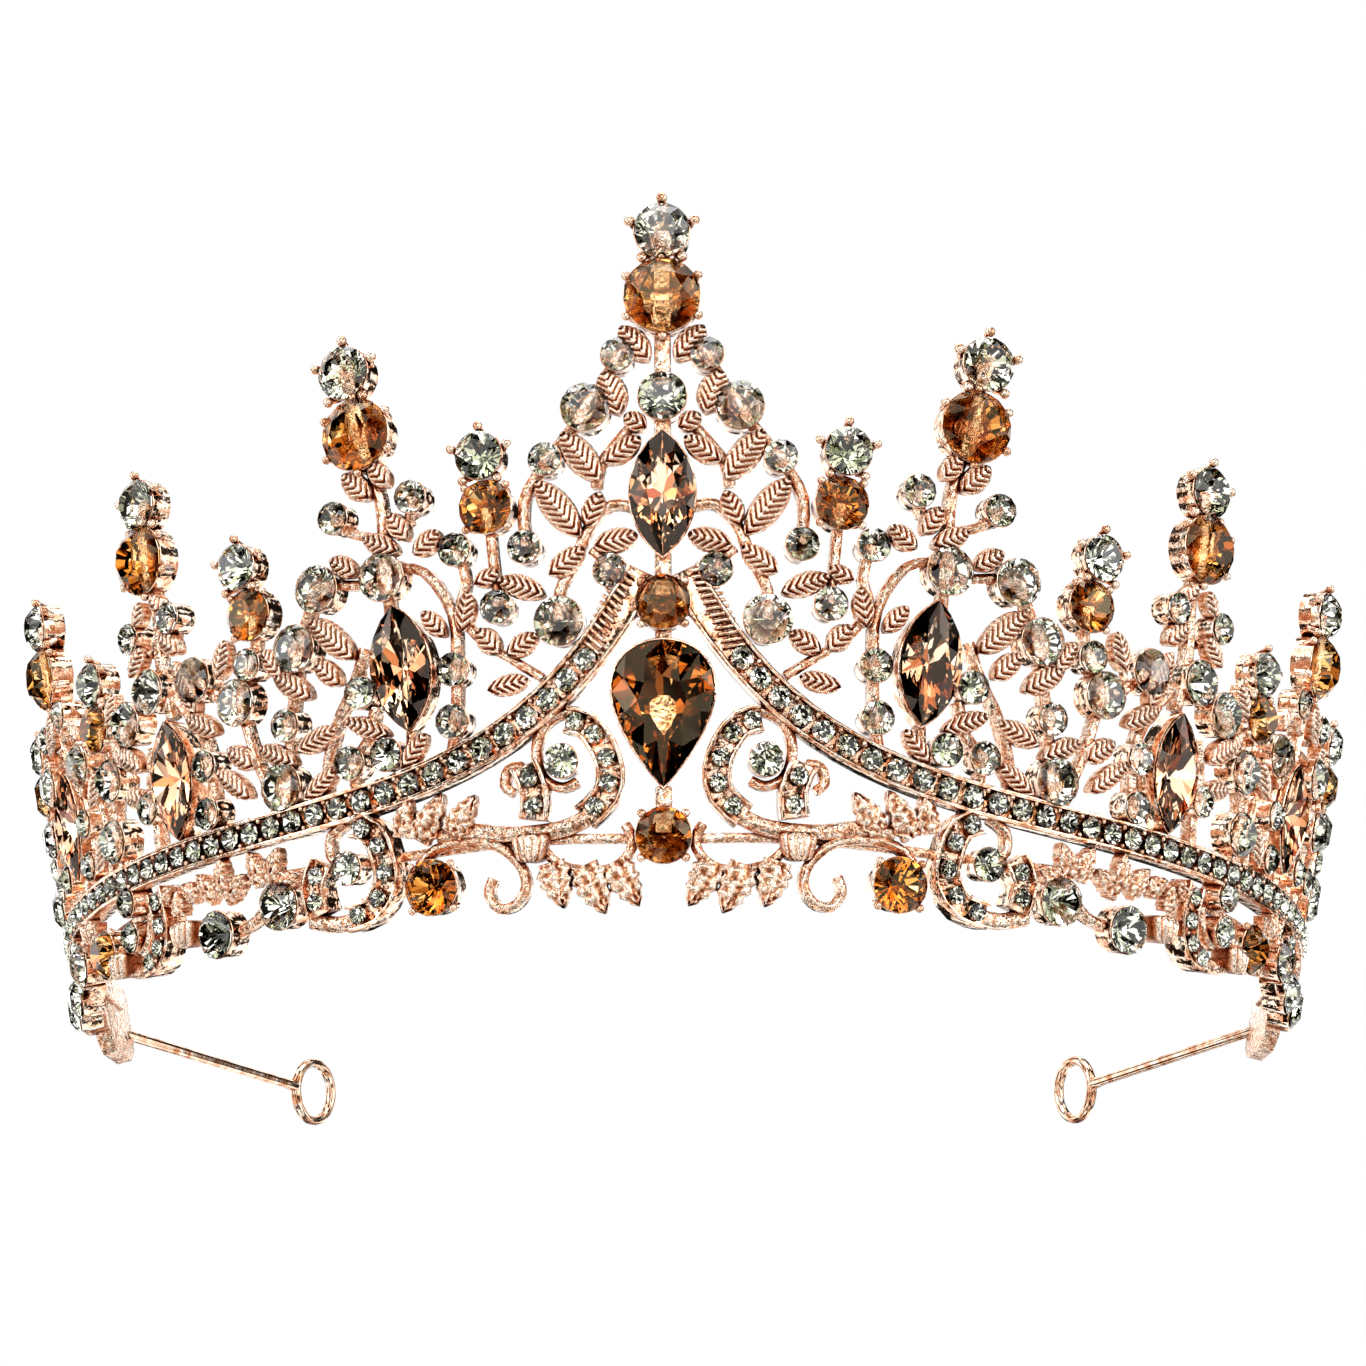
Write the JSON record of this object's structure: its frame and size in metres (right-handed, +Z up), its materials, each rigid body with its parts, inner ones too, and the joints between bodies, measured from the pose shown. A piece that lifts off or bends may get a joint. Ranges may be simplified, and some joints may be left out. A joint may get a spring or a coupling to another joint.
{
  "type": "bridal tiara",
  "caption": "Open crown-shaped bridal tiara in rose-gold metal, with spires, leaves and scrolls set with clear and champagne stones, and a wire loop at each end.",
  "frame": {"origin": "middle of the overall width and depth, on the plane that the foot stands on", "axes": "+X to the right as seen from the front, the front facing -Y, +Z up"},
  "size_m": [0.1478, 0.1173, 0.064],
  "materials": {
    "rose_gold": "polished rose-gold plating",
    "champagne_stone": "faceted, foiled behind",
    "peach_stone": "faceted, foiled behind",
    "clear_stone": "faceted, foiled behind"
  },
  "bodies": {
    "root": {"centre_spine": "rose_gold", "crest_stems": "rose_gold", "crest_leaves": "rose_gold", "tall_spire_stems": "rose_gold", "tall_spire_leaves": "rose_gold", "short_spire_stems": "rose_gold", "short_spire_leaves": "rose_gold", "ribbon_band": "rose_gold", "scrolls": "rose_gold", "scroll_tails": "rose_gold", "curls": "rose_gold", "back_rail": "rose_gold", "bow_leaves": "rose_gold", "acanthus_leaves": "rose_gold", "shells": "rose_gold", "end_plates": "rose_gold", "loop_arm_left": "rose_gold", "loop_arm_right": "rose_gold", "pear_bezel": "rose_gold", "marquise_bezels": "rose_gold", "champagne_cups_large": "rose_gold", "champagne_cups_small": "rose_gold", "clear_cups_large": "rose_gold", "clear_cups_medium": "rose_gold", "clear_cups_small": "rose_gold", "tip_claws": "rose_gold", "cup_claws": "rose_gold", "pear_stone": "champagne_stone", "marquise_stones": "peach_stone", "champagne_stones_large": "champagne_stone", "champagne_stones_small": "champagne_stone", "clear_stones_large": "clear_stone", "clear_stones_medium": "clear_stone", "clear_stones_small": "clear_stone", "ribbon_stones": "clear_stone", "scroll_stones": "clear_stone"}
  },
  "joints": []
}
